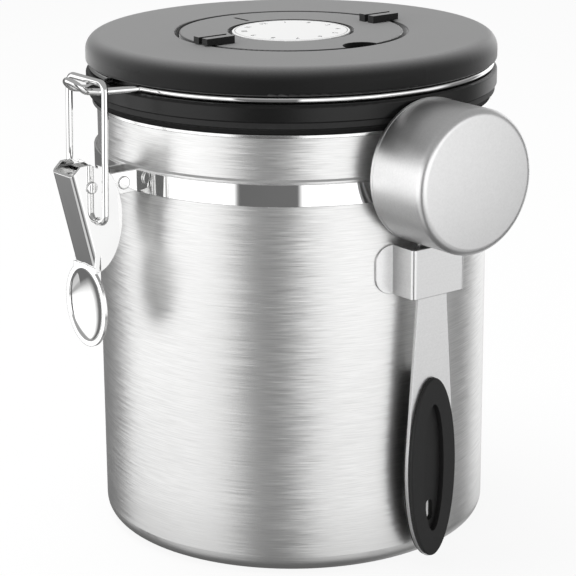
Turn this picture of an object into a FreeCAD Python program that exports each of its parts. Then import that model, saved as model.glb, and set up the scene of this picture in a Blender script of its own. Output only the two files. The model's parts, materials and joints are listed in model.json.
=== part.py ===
"""Coffee canister with a clamped lid, a one-way valve, a date ring and a scoop on its side.

Millimetres, +Z up. The origin is the middle of the base. The clasp is on -Y, the lid's hinge on +Y
and the scoop on +X. Every sub-part reads its sizes from the sheet, so a changed cell moves what fits it.
"""
import FreeCAD, Part

import math
import os
import re

import Sketcher
from FreeCAD import Placement, Rotation, Vector

SIZES = {
    # canister, a drawn steel can with a rolled rim
    "body_radius": 60.0,
    "body_wall": 0.8,
    "floor_edge_radius": 5.5,
    "floor_bead_inset": 16.0,
    "floor_bead_half": 3.0,
    "floor_bead_rise": 1.0,
    "step_drop": 13.8,
    "step_rise": 0.6,
    "neck_inset": 0.5,
    "rim_height": 133.9,
    "rim_thickness": 1.1,
    "rim_overhang": 1.4,
    "rim_edge_radius": 0.2,
    # neck band, a strap whose two ends turn out as ears that carry the clasp
    "band_drop": 20.85,
    "band_width": 6.5,
    "band_thickness": 0.7,
    "band_fit": 0.05,
    "ear_gap_half": 3.7,
    "ear_end": 3.2,
    "rivet_radius": 1.4,
    "rivet_head_radius": 2.0,
    "rivet_head_height": 0.6,
    # clasp pivot and lever
    "pivot_standoff": 16.05,
    "pivot_rise": 0.5,
    "pin_radius": 1.2,
    "pin_fit": 0.05,
    "pin_head_radius": 1.8,
    "pin_head_height": 0.6,
    "pin_head_gap": 0.1,
    "lever_sheet": 0.8,
    "lever_gap": 0.3,
    "lever_depth": 15.6,
    "lever_length": 32.2,
    "lever_bend_radius": 1.5,
    "spoon_half_width": 10.5,
    "spoon_half_length": 12.6,
    "spoon_sheet": 0.9,
    "spoon_border": 1.6,
    "spoon_dish": 2.4,
    "spoon_overlap": 2.0,
    "spoon_inset": 0.95,
    "spoon_lean": 0.6,
    # clasp link and lid bail, bent from the same wire
    "wire_radius": 1.0,
    "link_half_width": 9.4,
    "link_rise": 3.2,
    "link_bend_radius": 2.5,
    "link_hole_drop": 10.2,
    "link_hole_inset": 1.8,
    "link_hole_fit": 0.1,
    "link_pin_length": 2.4,
    "link_lean": 1.7,
    "bail_stub": 4.2,
    "bail_bend_radius": 1.6,
    "hook_half_width": 3.4,
    "hook_root_inset": 5.0,
    "hook_root_drop": 0.2,
    "hook_knee_inset": 0.2,
    "hook_knee_rise": 0.5,
    "hook_tip_outset": 3.1,
    "hook_tip_rise": 3.4,
    "hook_bend_radius": 3.2,
    # lid hinge behind the neck
    "hinge_standoff": 6.75,
    "hinge_drop": 5.9,
    "hinge_ear_gap": 0.7,
    "hinge_ear_end": 3.2,
    "hinge_sheet": 0.9,
    "hinge_bore_fit": 0.06,
    "hinge_pin_length": 6.1,
    "hinge_rivet_spread": 2.6,
    "hinge_rivet_radius": 1.1,
    "hinge_rivet_head": 1.7,
    "hinge_rivet_head_height": 0.5,
    "bail_back_gap": 3.4,
    # lid: cap, base and gasket
    "lid_overhang": 2.6,
    "lid_gap": 1.3,
    "cap_height": 7.9,
    "cap_plate": 2.2,
    "cap_skirt": 2.2,
    "cap_edge_radius": 4.5,
    "cap_low_edge_radius": 1.0,
    "groove_clearance": 0.4,
    "groove_depth": 3.1,
    "flange_height": 4.8,
    "flange_edge_radius": 0.9,
    "base_wall": 2.2,
    "plug_gap": 2.3,
    "plug_depth": 4.0,
    "plug_edge_radius": 1.0,
    "gasket_inset": 0.6,
    "gasket_height": 2.8,
    "gasket_fit": 0.05,
    "gasket_edge_radius": 0.8,
    "seal_width": 1.6,
    "seal_gap": 0.1,
    # date ring and dial on top of the lid
    "ring_radius": 34.0,
    "ring_seam": 1.5,
    "ring_edge_radius": 0.4,
    "ring_thickness": 3.3,
    "ring_lift": 0.2,
    "dial_radius": 18.0,
    "dial_thickness": 1.0,
    "dial_seam": 1.4,
    "hub_inset": 2.4,
    "hub_wall": 6.6,
    "hub_fit": 0.1,
    "well_floor": 1.6,
    "well_wall": 2.0,
    "lip_gap": 0.3,
    "notch_radius": 5.8,
    "notch_depth": 2.0,
    "mark_end": 4.9,
    "mark_width": 1.2,
    "mark_depth": 0.5,
    "mark_inset": 2.4,
    "grip_rib_height": 2.3,
    "grip_rib_width": 2.6,
    "grip_rib_pitch": 4.2,
    "grip_rib_start": 0.4,
    "grip_rib_length": 10.0,
    "grip_rib_overhang": 2.5,
    "grip_rib_gap": 0.3,
    # one-way valve in the middle of the lid
    "valve_radius": 14.1,
    "valve_wall": 1.8,
    "valve_fit": 0.1,
    "valve_flange_lip": 2.4,
    "valve_flange": 1.5,
    "valve_lip": 0.6,
    "bulb_gap": 0.7,
    "flap_room": 1.2,
    "seat_thickness": 1.4,
    "seat_hole_radius": 1.1,
    "seat_land": 2.4,
    "stem_radius": 1.45,
    "stem_fit": 0.15,
    "stem_bulb_radius": 2.2,
    "stem_bulb_height": 1.2,
    "diaphragm_side_gap": 2.5,
    "diaphragm_thickness": 0.8,
    "diaphragm_crown": 0.7,
    "diaphragm_gap": 0.1,
    "diaphragm_lift": 0.8,
    "retainer_fit": 0.1,
    "retainer_thickness": 1.2,
    "retainer_ledge": 0.8,
    "retainer_hole_radius": 1.5,
    "retainer_hole_edge": 3.7,
    "filter_thickness": 2.0,
    "filter_gap": 0.2,
    "guard_thickness": 0.8,
    "guard_hole_radius": 1.4,
    "guard_hole_edge": 2.4,
    # scoop holder, a bent strip welded to the side
    "holder_side_gap": 0.1,
    "holder_sheet": 0.7,
    "holder_front_gap": 0.6,
    "holder_drop": 13.15,
    "holder_height": 14.7,
    "holder_tab": 5.2,
    "holder_tab_radius": 5.0,
    "holder_bend_radius": 1.2,
    # scoop
    "cup_radius": 21.0,
    "cup_wall": 0.7,
    "cup_depth": 21.7,
    "cup_edge_radius": 2.2,
    "cup_lip": 0.1,
    "cup_lip_width": 0.9,
    "cup_gap": 0.7,
    "cup_seat_gap": 0.3,
    "handle_inset": 2.0,
    "handle_sheet": 1.2,
    "handle_neck_half": 5.5,
    "handle_neck_drop": 2.2,
    "handle_border": 0.4,
    "grip_half_width": 8.6,
    "grip_half_length": 28.0,
    "grip_low": 3.3,
    "grip_front": 1.5,
    "grip_back": 1.1,
    "grip_edge_radius": 0.6,
    "window_wall": 0.8,
    "recess_half_width": 3.8,
    "recess_half_length": 20.0,
    "recess_depth": 2.0,
    "slot_half_width": 1.2,
    "slot_length": 6.5,
    "slot_rise": 10.9,
    # length by which a cut runs past what it cuts
    "cut_overrun": 5.0,
}

# the lever seen from its side, from its pivot: outward over lever_depth and up over lever_length; its strip
# runs from the first to the second, then straight down to the third
LEVER_SHARES = (
    (0.417, 0.116),
    (-0.030, -0.770),
    (-0.030, -0.800),
    (-0.108, -0.795),
    (-0.250, -0.298),
    (-0.200, 0.150),
    (0, 0.208),
    (0.220, 0.205),
)
# the oval of the lever's wings: its middle's height and its half length over lever_length, its half width
# over lever_depth, and its straight front behind the pivot over that half width
WING_SHARES = (-0.298, 0.506, 0.663, 0.230)
# the flare between the strip and the spoon: its corner's and its top's height over the spoon's half length,
# then where it ends, out over the spoon's half width and up over its half length
FLARE_SHARES = (0.800, 0.980, 0.760, 0.620)
# clamp rivet's place between the band and the pivot
CLAMP_SHARE = 0.269
# where the handle's straight sides leave its oval end: up over the half length, out over the half width
HANDLE_TAPER_SHARES = (0.213, 0.977)
# lower bead of the gasket's seal over its width
SEAL_SLOPE_SHARE = 0.30
# wire's middle outside the groove's bottom over the wire's radius
WIRE_SEAT_SHARE = 1.3
# rounded ends and edges over the half width, height or thickness that they round
ROUND_END_SHARE = 0.98
HEAD_EDGE_SHARE = 0.7
FLANGE_EDGE_SHARE = 0.6
BULB_EDGE_SHARE = 0.4
DIAL_EDGE_SHARE = 0.3
FILTER_EDGE_SHARE = 0.2

# places and sizes that follow from the sizes above, so that pieces which fit each other move together
FITS = {
    "neck_radius": "body_radius - neck_inset",
    "neck_bore": "neck_radius - body_wall",
    "floor_bead_radius": "body_radius - floor_bead_inset",
    "step_height": "rim_height - step_drop",
    "band_low": "rim_height - band_drop",
    "band_middle": "band_low + band_width / 2",
    "band_high": "band_low + band_width",
    "band_in": "body_radius + band_fit",
    "band_out": "band_in + band_thickness",
    "ear_out": "ear_gap_half + band_thickness",
    "pivot_reach": "band_out + pivot_standoff",
    "pivot_height": "band_middle + pivot_rise",
    "clamp_reach": f"band_out + {CLAMP_SHARE} * pivot_standoff",
    "lever_half": "ear_out + lever_gap + lever_sheet",
    "spoon_drop": f"{-LEVER_SHARES[2][1]} * lever_length + spoon_half_length - spoon_overlap",
    "link_hole_reach": "pivot_reach - link_hole_inset",
    "link_hole_height": "pivot_height - link_hole_drop",
    "flange_low": "rim_height + lid_gap + gasket_height",
    "flange_top": "flange_low + flange_height",
    "groove_height": "2 * wire_radius + groove_clearance",
    "cap_low": "flange_top + groove_height",
    "lid_top": "cap_low + cap_height",
    "lid_radius": "body_radius + lid_overhang",
    "groove_radius": "lid_radius - groove_depth",
    "wire_height": "cap_low - groove_height / 2",
    "wire_seat": f"groove_radius + {WIRE_SEAT_SHARE} * wire_radius",
    "plug_radius": "neck_bore - plug_gap",
    "plug_low": "rim_height - plug_depth",
    "cap_under": "lid_top - cap_plate",
    "link_length": "wire_height + link_rise - link_hole_height",
    "hook_root_reach": "pivot_reach - hook_root_inset",
    "hook_knee_reach": "pivot_reach - hook_knee_inset",
    "hook_tip_reach": "pivot_reach + hook_tip_outset",
    "hinge_reach": "band_out + hinge_standoff",
    "hinge_height": "rim_height - hinge_drop",
    "hinge_ear_half": "hook_half_width + bail_stub - wire_radius - hinge_ear_gap",
    "hinge_face": "band_out + hinge_sheet",
    "bail_back_reach": "lid_radius + bail_back_gap",
    "well_radius": "ring_radius + ring_seam",
    "ring_low": "lid_top - ring_thickness",
    "ring_bore": "dial_radius + dial_seam",
    "well_low": "ring_low - ring_lift",
    "dial_low": "lid_top - dial_thickness",
    "hub_radius": "dial_radius - hub_inset",
    "hub_bore": "hub_radius - hub_wall",
    "mark_length": "ring_radius - ring_bore - mark_inset - mark_end",
    "valve_low": "plug_low - valve_flange",
    "valve_bore": "valve_radius - valve_wall",
    "valve_flange_radius": "valve_radius + valve_flange_lip",
    "filter_low": "valve_low + guard_thickness + filter_gap",
    "filter_high": "filter_low + filter_thickness",
    "seat_low": "filter_high + bulb_gap + stem_bulb_height + diaphragm_gap + diaphragm_lift",
    "seat_top": "seat_low + seat_thickness",
    "diaphragm_low": "seat_top + diaphragm_gap",
    "diaphragm_top": "diaphragm_low + diaphragm_thickness + diaphragm_crown",
    "retainer_low": "diaphragm_top + diaphragm_lift + flap_room",
    "valve_top": "retainer_low + retainer_thickness + valve_lip",
    "retainer_radius": "valve_bore - retainer_fit",
    "retainer_hole_ring": "retainer_radius - retainer_hole_edge - retainer_hole_radius",
    "guard_hole_ring": "retainer_radius - guard_hole_edge - guard_hole_radius",
    "diaphragm_radius": "valve_bore - retainer_ledge - diaphragm_side_gap",
    "seat_hole_ring": "diaphragm_radius - seat_land - seat_hole_radius",
    "holder_high": "band_low - holder_drop",
    "holder_low": "holder_high - holder_height",
    "cup_reach": "lid_radius + cup_gap",
    "cup_middle": "holder_high + cup_seat_gap + cup_radius + cup_lip",
    "handle_reach": "cup_reach + handle_inset",
    "handle_front": "handle_reach + handle_sheet",
    "handle_half_width": "grip_half_width + handle_border",
    "handle_half_length": "grip_half_length + handle_border",
    "handle_neck_low": "holder_low - handle_neck_drop",
    "grip_middle": "grip_low + grip_half_length",
    "grip_face": "handle_front + grip_front",
    "window_half_width": "recess_half_width + window_wall",
    "window_half_length": "recess_half_length + window_wall",
    "slot_low": "grip_low + slot_rise",
    "holder_reach": "grip_face + holder_front_gap + holder_sheet",
    "holder_half_width": "handle_half_width + holder_side_gap + holder_sheet",
    "holder_tab_half": "holder_half_width + holder_tab",
}

VALVE_HOLES = 8
GUARD_HOLES = 12
FULL_TURN = 360
# vertices nearer than this are at the same place
SAME_PLACE = 1e-6

Z_TO_X = Rotation(Vector(0, 1, 0), 90)
Z_TO_Y = Rotation(Vector(1, 0, 0), -90)

doc = FreeCAD.newDocument("coffee_canister")
sheet = doc.addObject("Spreadsheet::Sheet", "sizes")
formulas = {alias: f"={formula}" for alias, formula in FITS.items()}
rows = {alias: str(size) for alias, size in SIZES.items()} | formulas
for row, (alias, content) in enumerate(rows.items(), 1):
    sheet.set(f"A{row}", alias)
    sheet.set(f"B{row}", content)
    sheet.setAlias(f"B{row}", alias)
    sheet.recompute()
doc.recompute()


# expressions and sketches
sums = doc.addObject("Spreadsheet::Sheet", "sums")
worked_out = {}


def cells(expression):
    """The expression with every size's name pointing at its cell in the sheet."""
    return re.sub(r"[a-z_]+", lambda word: f"sizes.{word[0]}" if word[0] in rows else word[0], expression)


def number(expression):
    """The expression's value now, for the pieces that are worked out in code."""
    if expression not in worked_out:
        sums.set("A1", f"={cells(expression)}")
        sums.recompute()
        worked_out[expression] = float(sums.get("A1"))
    return worked_out[expression]


def sketch_on(body, name, role, lift=None):
    """An empty sketch on one of the body's own planes, lifted along the plane's normal."""
    plane = next(feature for feature in body.Origin.OriginFeatures if feature.Role == role)
    sketch = body.newObject("Sketcher::SketchObject", name)
    sketch.AttachmentSupport = [(plane, "")]
    sketch.MapMode = "FlatFace"
    if lift:
        sketch.setExpression("AttachmentOffset.Base.z", cells(lift))
    return sketch


def hold(sketch, ties):
    """Adds constraints in one go; a tie that ends in an expression follows the sheet."""
    plain = []
    for kind, *where in ties:
        expression = where.pop() if isinstance(where[-1], str) else None
        plain.append(Sketcher.Constraint(kind, *where, *([number(expression)] if expression else [])))
    indices = sketch.addConstraint(plain)
    for index, (*_, last) in zip(indices, ties):
        if isinstance(last, str):
            sketch.setExpression(f"Constraints[{index}]", cells(last))


def pinned(item, end, across, up):
    """The ties that hold one point of a sketch at two coordinates."""
    ties = []
    for kind, axis, place in (("DistanceX", -2, across), ("DistanceY", -1, up)):
        ties.append(("PointOnObject", item, end, axis) if place == "0" else (kind, item, end, place))
    return ties


def corner_arc(before, here, after, radius):
    """The arc that rounds the corner at here, as first, middle and last point."""
    back = (before - here).normalize()
    on = (after - here).normalize()
    half = back.getAngle(on) / 2
    run = radius / math.tan(half)
    centre = here + (back + on).normalize() * (radius / math.sin(half))
    return here + back * run, centre + (here - centre).normalize() * radius, here + on * run


def beside(corner, step):
    """Coordinates of a rounded corner's arc end, a share of the radius away from the corner itself."""
    across, up, radius = corner
    share = step / number(radius)
    return f"{across} + {share.x:.9f} * ({radius})", f"{up} + {share.y:.9f} * ({radius})"


def outline(sketch, corners, closed=True):
    """Straight runs through the corners, each given as across, up and, where it is rounded, a radius."""
    spots = [Vector(number(corner[0]), number(corner[1]), 0) for corner in corners]
    count = len(corners)
    ends = []
    ties = []
    for index, corner in enumerate(corners):
        spot = spots[index]
        if len(corner) == 2:
            ends.append(((spot, corner), (spot, corner)))
            continue
        before, after = spots[index - 1], spots[(index + 1) % count]
        first, middle, last = corner_arc(before, spot, after, number(corner[2]))
        ends.append(((first, beside(corner, first - spot)), (last, beside(corner, last - spot))))
        left_turn = (spot - before).cross(after - spot).z > 0
        start, end = ends[-1] if left_turn else reversed(ends[-1])
        arc = sketch.addGeometry(Part.Arc(start[0], middle, end[0]))
        ties += pinned(arc, 1, *start[1]) + pinned(arc, 2, *end[1]) + [("Radius", arc, corner[2])]
    for index in range(count if closed else count - 1):
        start, end = ends[index][1], ends[(index + 1) % count][0]
        line = sketch.addGeometry(Part.LineSegment(start[0], end[0]))
        ties += pinned(line, 1, *start[1][:2]) + pinned(line, 2, *end[1][:2])
    hold(sketch, ties)


def straight(sketch, start, end):
    """A straight run between two held points, with the ties that hold it."""
    spots = [Vector(number(across), number(up), 0) for across, up in (start, end)]
    line = sketch.addGeometry(Part.LineSegment(*spots))
    return pinned(line, 1, *start) + pinned(line, 2, *end)


def circle(sketch, across, up, radius):
    """A circle about a held point."""
    place = Vector(number(across), number(up), 0)
    ring = sketch.addGeometry(Part.Circle(place, Vector(0, 0, 1), number(radius)))
    hold(sketch, pinned(ring, 3, across, up) + [("Radius", ring, radius)])


# features
def new_body(label):
    body = doc.addObject("PartDesign::Body", label)
    body.Label = label
    return body


def turned(label, corners):
    """A body turned about its own Z axis from a closed outline of radius and height."""
    body = new_body(label)
    profile = sketch_on(body, f"{label}_profile", "XZ_Plane")
    outline(profile, corners)
    turn = body.newObject("PartDesign::Revolution", f"{label}_turn")
    turn.Profile = profile
    turn.ReferenceAxis = (profile, ["V_Axis"])
    turn.Angle = FULL_TURN
    doc.recompute()
    return body


def pad(body, sketch, length, middle=False):
    feature = body.newObject("PartDesign::Pad", f"{sketch.Name}_pad")
    feature.Profile = sketch
    feature.setExpression("Length", cells(length))
    feature.SideType = "Symmetric" if middle else "One side"
    feature.Refine = False
    doc.recompute()
    return feature


def pocket(body, sketch, length=None, middle=False):
    """A cut of the given length, or right through both ways; it has to take something away."""
    before = body.Tip.Shape.Volume
    feature = body.newObject("PartDesign::Pocket", f"{sketch.Name}_cut")
    feature.Profile = sketch
    if length:
        feature.setExpression("Length", cells(length))
        feature.SideType = "Symmetric" if middle else "One side"
    else:
        feature.Type = "ThroughAll"
        feature.SideType = "Symmetric"
    feature.Refine = False
    doc.recompute()
    if feature.Shape.Volume >= before:
        raise ValueError(f"{sketch.Name} cuts nothing")
    return feature


def around(body, feature, count):
    """Copies of a feature in a ring about the body's Z axis."""
    pattern = body.newObject("PartDesign::PolarPattern", f"{feature.Name}_ring")
    pattern.Originals = [feature]
    axis = next(line for line in body.Origin.OriginFeatures if line.Role == "Z_Axis")
    pattern.Axis = (axis, [""])
    pattern.Angle = FULL_TURN
    pattern.Occurrences = count
    body.Tip = pattern
    doc.recompute()


def mirrored(body, feature, role):
    """The feature again on the other side of one of the body's planes."""
    copy = body.newObject("PartDesign::Mirrored", f"{feature.Name}_mirrored")
    copy.Originals = [feature]
    plane = next(item for item in body.Origin.OriginFeatures if item.Role == role)
    copy.MirrorPlane = (plane, [""])
    copy.Refine = False
    body.Tip = copy
    doc.recompute()


def put(part, x="0", y="0", z="0", rotation=None):
    """Places a sub-part by expressions, with a fixed turn."""
    part.Placement = Placement(Vector(0, 0, 0), rotation or Rotation())
    for axis, expression in (("x", x), ("y", y), ("z", z)):
        if expression != "0":
            part.setExpression(f"Placement.Base.{axis}", cells(expression))
    doc.recompute()


def headed_pin(label, radius, head_radius, half_length, head_height):
    """A rivet along its Z axis with a head at each end."""
    end = f"({half_length} + {head_height})"
    edge = f"{HEAD_EDGE_SHARE} * {head_height}"
    return turned(label, (
        ("0", f"-{end}"),
        (head_radius, f"-{end}", edge),
        (head_radius, f"-({half_length})"),
        (radius, f"-({half_length})"),
        (radius, half_length),
        (head_radius, half_length),
        (head_radius, end, edge),
        ("0", end),
    ))


def ellipse(sketch, across, middle, half_width, half_length, cut_share=None):
    """An upright ellipse held by its centre, tip and side, or the part of it right of an upright cut."""
    centre = Vector(number(across), number(middle), 0)
    shape = Part.Ellipse(centre, number(half_length), number(half_width))
    shape.AngleXU = math.pi / 2
    if cut_share is not None:
        turn = math.asin(cut_share)
        shape = Part.ArcOfEllipse(shape, math.pi + turn, 2 * math.pi - turn)
    ring = sketch.addGeometry(shape)
    sketch.exposeInternalGeometry(ring)
    tip = centre + Vector(0, number(half_length), 0)
    line = sketch.Geometry[ring + 1]
    end = 1 if line.StartPoint.isEqual(tip, SAME_PLACE) else 2
    ties = pinned(ring, 3, across, middle) + pinned(ring + 1, end, across, f"{middle} + {half_length}")
    ties.append(("Distance", ring + 2, f"2 * ({half_width})"))
    hold(sketch, ties)
    if cut_share is not None:
        cut = f"{across} + {cut_share} * ({half_width})"
        reach = f"{math.sqrt(1 - cut_share ** 2):.9f} * ({half_length})"
        hold(sketch, [("DistanceX", ring, 1, cut), ("DistanceX", ring, 2, cut)])
        hold(sketch, straight(sketch, (cut, f"{middle} - {reach}"), (cut, f"{middle} + {reach}")))


def fillet(body, feature, radius, wanted):
    """Rounds the feature's edges that are wanted, as told from the edge itself."""
    rounded = body.newObject("PartDesign::Fillet", f"{feature.Name}_round")
    edges = [f"Edge{index}" for index, edge in enumerate(feature.Shape.Edges, 1) if wanted(edge)]
    rounded.Base = (feature, edges)
    rounded.setExpression("Radius", cells(radius))
    doc.recompute()
    return rounded


def passes(*points):
    """A test for edges that pass through one of the points."""
    spots = [Part.Vertex(point) for point in points]
    return lambda edge: any(edge.distToShape(spot)[0] < SAME_PLACE for spot in spots)


# canister
def canister_body():
    """The can: a floor stiffened by a pressed ring, a rounded edge, a stepped-in neck and a rolled rim."""
    bead_in = "(floor_bead_radius - floor_bead_half)"
    bead_out = "(floor_bead_radius + floor_bead_half)"
    return turned("canister_body", (
        ("0", "0"),
        (bead_in, "0"),
        (f"{bead_in} + floor_bead_rise", "floor_bead_rise"),
        (f"{bead_out} - floor_bead_rise", "floor_bead_rise"),
        (bead_out, "0"),
        ("body_radius", "0", "floor_edge_radius"),
        ("body_radius", "step_height"),
        ("neck_radius", "step_height + step_rise"),
        ("neck_radius", "rim_height - rim_thickness"),
        ("neck_radius + rim_overhang", "rim_height - rim_thickness", "rim_edge_radius"),
        ("neck_radius + rim_overhang", "rim_height", "rim_edge_radius"),
        ("neck_bore", "rim_height"),
        ("neck_bore", "step_height + step_rise"),
        ("body_radius - body_wall", "step_height"),
        ("body_radius - body_wall", "body_wall", "floor_edge_radius - body_wall"),
        (bead_out, "body_wall"),
        (f"{bead_out} - floor_bead_rise", "body_wall + floor_bead_rise"),
        (f"{bead_in} + floor_bead_rise", "body_wall + floor_bead_rise"),
        (bead_in, "body_wall"),
        ("0", "body_wall"),
    ))


# neck band with its clamp rivet
def neck_band():
    body = new_body("neck_band")
    strap = sketch_on(body, "band_strap", "XY_Plane", "band_low")
    tip = "-(pivot_reach + ear_end)"
    runs = [("band_out", "ear_out"), ("band_in", "ear_gap_half")]
    ties = []
    ends = []
    for radius, half_gap in runs:
        reach = f"-sqrt({radius} ^ 2 - {half_gap} ^ 2)"
        start = math.atan2(number(reach), number(half_gap))
        round_run = Part.Circle(Vector(0, 0, 0), Vector(0, 0, 1), number(radius))
        arc = strap.addGeometry(Part.ArcOfCircle(round_run, start, math.pi - start))
        ties += pinned(arc, 3, "0", "0") + [("Radius", arc, radius)]
        ties += [("DistanceX", arc, 1, half_gap), ("DistanceX", arc, 2, f"-{half_gap}")]
        ends.append((half_gap, reach))
    for sign in ("", "-"):
        (out, out_reach), (gap, gap_reach) = ends
        stops = ((sign + out, out_reach), (sign + out, tip), (sign + gap, tip), (sign + gap, gap_reach))
        for start, end in zip(stops, stops[1:]):
            ties += straight(strap, start, end)
    hold(strap, ties)
    whole = pad(body, strap, "band_width")
    ear_middle = number("ear_gap_half + band_thickness / 2")
    heights = (number("band_low"), number("band_high"))
    corners = [Vector(side * ear_middle, number(tip), height) for side in (-1, 1) for height in heights]
    fillet(body, whole, f"{ROUND_END_SHARE} * ear_end", passes(*corners))
    holes = sketch_on(body, "band_holes", "YZ_Plane")
    circle(holes, "-pivot_reach", "pivot_height", "pin_radius + pin_fit")
    circle(holes, "-clamp_reach", "band_middle", "rivet_radius")
    pocket(body, holes, "2 * (ear_out + cut_overrun)", middle=True)
    rivets = sketch_on(body, "band_hinge_holes", "XZ_Plane")
    for side in ("hinge_rivet_spread", "-hinge_rivet_spread"):
        circle(rivets, side, "band_middle", "hinge_rivet_radius")
    pocket(body, rivets)
    return body


def band_rivet():
    rivet = headed_pin("band_rivet", "rivet_radius", "rivet_head_radius", "ear_out", "rivet_head_height")
    put(rivet, y="-clamp_reach", z="band_middle", rotation=Z_TO_X)
    return rivet


# clasp
def lever_pin():
    half = "(lever_half + pin_head_gap)"
    pin = headed_pin("lever_pin", "pin_radius", "pin_head_radius", half, "pin_head_height")
    put(pin, y="-pivot_reach", z="pivot_height", rotation=Z_TO_X)
    return pin


def lever_channel():
    """The stamped channel: a front and half an oval, padded to full width and hollowed behind the strip."""
    body = new_body("lever_channel")
    side = sketch_on(body, "lever_side", "YZ_Plane")
    corners = [(f"-(pivot_reach + {out} * lever_depth)", f"pivot_height + {up} * lever_length")
               for out, up in LEVER_SHARES]
    outline(side, corners)
    block = pad(body, side, "2 * lever_half", middle=True)
    front = [Vector(0, number(corner[0]), number(corner[1])) for corner in corners[:2]]
    across = Vector(number("lever_half"), 0, 0)
    middle = (front[0] + front[1]) / 2
    fillet(body, block, "lever_bend_radius", passes(middle - across, middle + across))
    up_share, tall_share, deep_share, cut_share = WING_SHARES
    wing = sketch_on(body, "lever_wing", "YZ_Plane")
    ellipse(wing, "-pivot_reach", f"pivot_height + {up_share} * lever_length",
            f"{deep_share} * lever_depth", f"{tall_share} * lever_length", cut_share)
    pad(body, wing, "2 * lever_half", middle=True)
    top, knee = LEVER_SHARES[:2]
    slope = f"({top[0] - knee[0]} * lever_depth / ({top[1] - knee[1]} * lever_length))"
    above = "(lever_length / 2 + cut_overrun)"
    low = "pivot_height - (lever_length + cut_overrun)"
    rear = "-(pivot_reach - lever_depth - cut_overrun)"
    knee_in = f"-(pivot_reach + {knee[0]} * lever_depth - lever_sheet)"
    hollow = sketch_on(body, "lever_hollow", "YZ_Plane")
    outline(hollow, (
        (f"{knee_in} - {slope} * ({above} - {knee[1]} * lever_length)", f"pivot_height + {above}"),
        (knee_in, f"pivot_height + {knee[1]} * lever_length"),
        (knee_in, low),
        (rear, low),
        (rear, f"pivot_height + {above}"),
    ))
    pocket(body, hollow, "2 * (lever_half - lever_sheet)", middle=True)
    holes = sketch_on(body, "lever_holes", "YZ_Plane")
    circle(holes, "-pivot_reach", "pivot_height", "pin_radius + pin_fit")
    circle(holes, "-link_hole_reach", "link_hole_height", "wire_radius + link_hole_fit")
    pocket(body, holes, "2 * (lever_half + cut_overrun)", middle=True)
    return body


def lever_spoon():
    """The dished thumb end: an oval plate with a bowl pressed into it, leaned to follow the strip."""
    body = new_body("lever_spoon")
    plate = sketch_on(body, "spoon_plate", "XY_Plane")
    ellipse(plate, "0", "0", "spoon_half_width", "spoon_half_length")
    pad(body, plate, "spoon_sheet")
    corner_share, top_share, out_share, up_share = FLARE_SHARES
    right = [
        (f"{out_share} * spoon_half_width", f"{up_share} * spoon_half_length"),
        ("lever_half", f"{corner_share} * spoon_half_length", "spoon_half_length / 3"),
        ("lever_half", f"{top_share} * spoon_half_length"),
    ]
    left = [(f"-({corner[0]})",) + tuple(corner[1:]) for corner in reversed(right)]
    flare = sketch_on(body, "spoon_flare", "XY_Plane")
    outline(flare, right + left)
    pad(body, flare, "spoon_sheet")
    plane = next(feature for feature in body.Origin.OriginFeatures if feature.Role == "XY_Plane")
    for kind, wall in (("Additive", "spoon_sheet"), ("Subtractive", "0")):
        bowl = body.newObject(f"PartDesign::{kind}Ellipsoid", f"spoon_bowl_{kind}")
        bowl.AttachmentSupport = [(plane, "")]
        bowl.MapMode = "FlatFace"
        bowl.setExpression("AttachmentOffset.Base.z", cells("spoon_sheet"))
        bowl.setExpression("Radius1", cells(f"spoon_dish + {wall}"))
        bowl.setExpression("Radius2", cells(f"spoon_half_width - spoon_border + {wall}"))
        bowl.setExpression("Radius3", cells(f"spoon_half_length - spoon_border + {wall}"))
        bowl.Angle1 = -90
        bowl.Angle2 = 0
        doc.recompute()
    lean = Rotation(Vector(1, 0, 0), 90 + number("spoon_lean"))
    put(body, y="-(pivot_reach - spoon_inset)", z="pivot_height - spoon_drop", rotation=lean)
    return body


def clasp_lever():
    lever = doc.addObject("Part::MultiFuse", "clasp_lever")
    lever.Label = "clasp_lever"
    lever.Shapes = [lever_channel(), lever_spoon()]
    lever.Refine = True
    doc.recompute()
    return lever


def clasp_link():
    """A wire frame: a bar on top, two legs, and ends turned in through the lever's holes."""
    body = new_body("clasp_link")
    end = "(lever_half - link_pin_length)"
    path = sketch_on(body, "link_path", "XZ_Plane")
    outline(path, (
        (end, "0"),
        ("link_half_width", "0", "link_bend_radius"),
        ("link_half_width", "link_length", "link_bend_radius"),
        ("-link_half_width", "link_length", "link_bend_radius"),
        ("-link_half_width", "0", "link_bend_radius"),
        (f"-{end}", "0"),
    ), closed=False)
    section = sketch_on(body, "link_section", "YZ_Plane", end)
    circle(section, "0", "0", "wire_radius")
    pipe = body.newObject("PartDesign::AdditivePipe", "link_pipe")
    pipe.Profile = section
    pipe.Spine = path
    lean = Rotation(Vector(1, 0, 0), -number("link_lean"))
    put(body, y="-link_hole_reach", z="link_hole_height", rotation=lean)
    return body


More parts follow.
